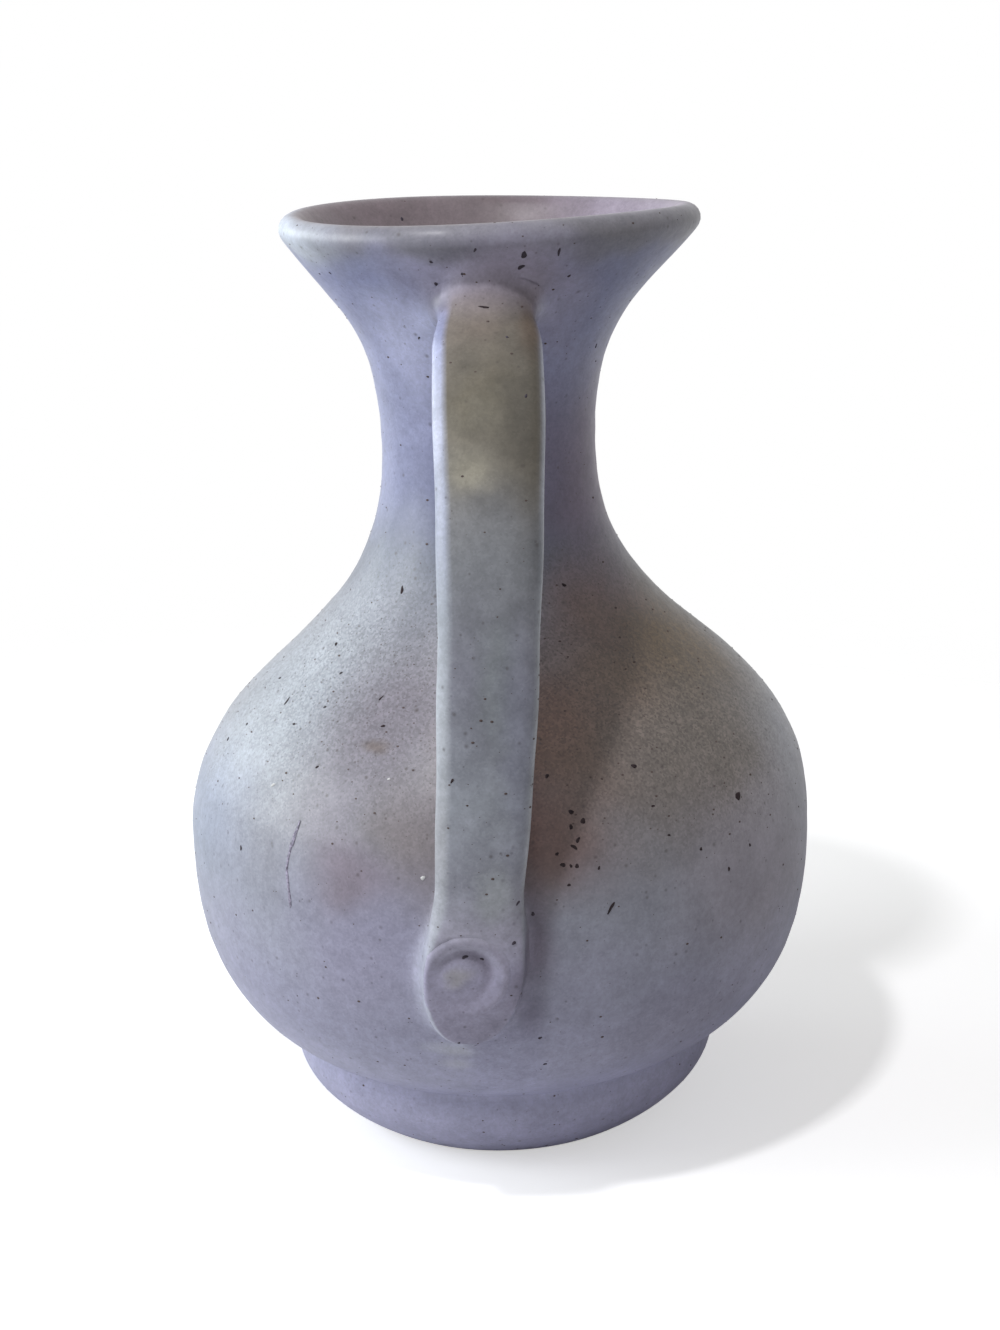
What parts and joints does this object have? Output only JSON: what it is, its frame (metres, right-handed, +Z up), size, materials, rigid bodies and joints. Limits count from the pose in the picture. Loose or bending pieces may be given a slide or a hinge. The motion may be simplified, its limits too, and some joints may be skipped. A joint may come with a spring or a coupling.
{
  "type": "two-handled vase",
  "caption": "Round-bellied stoneware vase with a narrow neck, a flared rolled lip and strap handles from lip to belly, standing on a turned foot ring; holds water and stems.",
  "frame": {"origin": "centre of the foot ring's resting face", "axes": "+Z up along the turning axis; the front handle points towards -Y and the rear handle towards +Y"},
  "size_m": [0.1444, 0.159, 0.21],
  "materials": {
    "lavender_glaze": "satin, speckled",
    "grey_green_glaze": "satin, speckled",
    "blue_grey_glaze": "satin, speckled",
    "olive_glaze": "satin, speckled"
  },
  "bodies": {
    "root": {"foot_ring": "lavender_glaze", "bowl": "lavender_glaze", "shoulder": "grey_green_glaze", "neck": "lavender_glaze", "lip": "blue_grey_glaze", "front_strap": "olive_glaze", "front_roundel": "blue_grey_glaze", "front_upper_luting": "olive_glaze", "front_lower_luting": "lavender_glaze", "rear_strap": "olive_glaze", "rear_roundel": "blue_grey_glaze", "rear_upper_luting": "olive_glaze", "rear_lower_luting": "lavender_glaze"}
  },
  "joints": []
}
